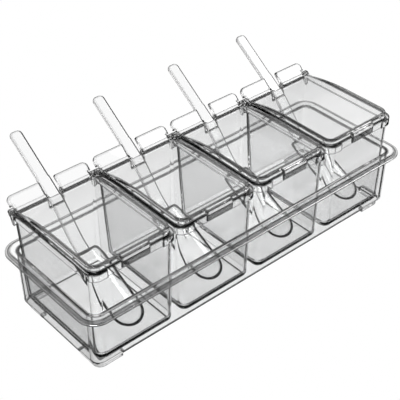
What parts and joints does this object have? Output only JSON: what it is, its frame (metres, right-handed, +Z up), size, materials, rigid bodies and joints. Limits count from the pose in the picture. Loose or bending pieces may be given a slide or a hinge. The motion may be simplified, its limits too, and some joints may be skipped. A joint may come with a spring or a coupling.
{
  "type": "spice box set",
  "caption": "Clear spice box set: an open tray on corner feet holding lift-out boxes, each with a flip lid on a back hinge and a long-handled spoon through a slot.",
  "frame": {"origin": "under the middle of the tray, in the plane that its feet stand on", "axes": "+X along the row of boxes, +Y towards the hinges and spoon handles, +Z up"},
  "size_m": [0.326, 0.1555, 0.1177],
  "materials": {
    "clear_tray": "clear polished",
    "clear_box": "clear polished",
    "clear_lid": "clear polished",
    "clear_spoon": "clear polished"
  },
  "bodies": {
    "tray": {"tray": "clear_tray"},
    "box_1": {"box_1": "clear_box"},
    "lid_1": {"lid_1": "clear_lid"},
    "spoon_1": {"spoon_1": "clear_spoon"},
    "box_2": {"box_2": "clear_box"},
    "lid_2": {"lid_2": "clear_lid"},
    "spoon_2": {"spoon_2": "clear_spoon"},
    "box_3": {"box_3": "clear_box"},
    "lid_3": {"lid_3": "clear_lid"},
    "spoon_3": {"spoon_3": "clear_spoon"},
    "box_4": {"box_4": "clear_box"},
    "lid_4": {"lid_4": "clear_lid"},
    "spoon_4": {"spoon_4": "clear_spoon"}
  },
  "joints": [
    {"name": "box_1_lift", "type": "slide", "parent": "tray", "child": "box_1", "axis": [0, 0, 1], "range_m": [0, 0.08]},
    {"name": "lid_1_hinge", "type": "hinge", "parent": "box_1", "child": "lid_1", "pos_m": [-0.11505, 0.0495, 0.086], "axis": [-1, 0, 0], "range_deg": [0, 100]},
    {"name": "spoon_1_draw", "type": "slide", "parent": "box_1", "child": "spoon_1", "axis": [0, 0.8161, 0.5779], "range_m": [0, 0.006]},
    {"name": "box_2_lift", "type": "slide", "parent": "tray", "child": "box_2", "axis": [0, 0, 1], "range_m": [0, 0.08]},
    {"name": "lid_2_hinge", "type": "hinge", "parent": "box_2", "child": "lid_2", "pos_m": [-0.03835, 0.0495, 0.086], "axis": [-1, 0, 0], "range_deg": [0, 100]},
    {"name": "spoon_2_draw", "type": "slide", "parent": "box_2", "child": "spoon_2", "axis": [0, 0.8161, 0.5779], "range_m": [0, 0.006]},
    {"name": "box_3_lift", "type": "slide", "parent": "tray", "child": "box_3", "axis": [0, 0, 1], "range_m": [0, 0.08]},
    {"name": "lid_3_hinge", "type": "hinge", "parent": "box_3", "child": "lid_3", "pos_m": [0.03835, 0.0495, 0.086], "axis": [-1, 0, 0], "range_deg": [0, 100]},
    {"name": "spoon_3_draw", "type": "slide", "parent": "box_3", "child": "spoon_3", "axis": [0, 0.8161, 0.5779], "range_m": [0, 0.006]},
    {"name": "box_4_lift", "type": "slide", "parent": "tray", "child": "box_4", "axis": [0, 0, 1], "range_m": [0, 0.08]},
    {"name": "lid_4_hinge", "type": "hinge", "parent": "box_4", "child": "lid_4", "pos_m": [0.11505, 0.0495, 0.086], "axis": [-1, 0, 0], "range_deg": [0, 100]},
    {"name": "spoon_4_draw", "type": "slide", "parent": "box_4", "child": "spoon_4", "axis": [0, 0.8161, 0.5779], "range_m": [0, 0.006]}
  ]
}
